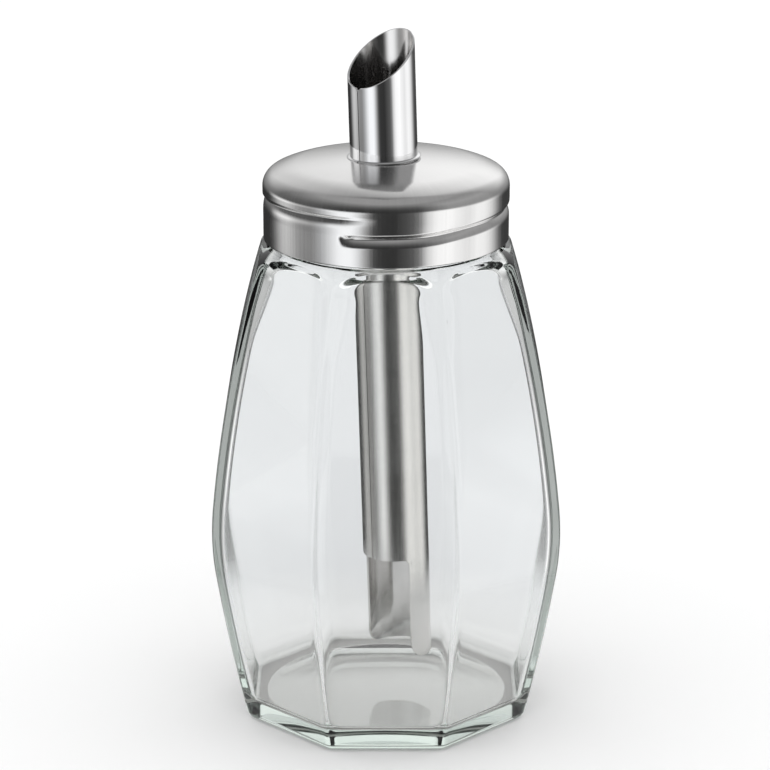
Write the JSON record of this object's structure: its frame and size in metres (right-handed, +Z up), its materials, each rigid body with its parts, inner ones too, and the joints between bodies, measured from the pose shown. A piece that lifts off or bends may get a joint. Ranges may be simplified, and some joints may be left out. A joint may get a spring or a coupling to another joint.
{
  "type": "sugar dispenser",
  "caption": "Eight-sided glass sugar dispenser with a domed screw-on metal lid and a slant-mouthed metal pour tube that reaches down to just above the jar's floor.",
  "frame": {"origin": "on the jar's axis, in the plane the jar stands on", "axes": "+Z up along the jar's axis; -Y towards the viewer of the picture, square to one flat of the jar; +X to the viewer's right"},
  "size_m": [0.0812, 0.0812, 0.1633],
  "materials": {
    "glass": "clear, smooth, faintly green in thick places",
    "seal": "soft translucent white sealing plastic",
    "washer_steel": "plain stamped",
    "lid_steel": "satin polished",
    "tube_steel": "polished above the lid, brushed below it"
  },
  "bodies": {
    "jar": {"jar": "glass"},
    "seal": {"seal_ring": "seal"},
    "washer": {"retaining_washer": "washer_steel"},
    "lid": {"lid": "lid_steel", "pour_tube": "tube_steel"}
  },
  "joints": [
    {"name": "lid_lift", "type": "slide", "parent": "jar", "child": "seal", "axis": [0, 0, 1], "range_m": [0, 0.125]},
    {"name": "lid_rise", "type": "slide", "parent": "seal", "child": "washer", "axis": [0, 0, 1], "range_m": [0, 0.00315]},
    {"name": "lid_turn", "type": "hinge", "parent": "washer", "child": "lid", "pos_m": [0, 0, 0.1155], "axis": [0, 0, 1], "range_deg": [0, 270]}
  ],
  "couplings": [
    {"joint": "lid_rise", "follows": "lid_turn", "m_per_rad": 0.00066845}
  ]
}
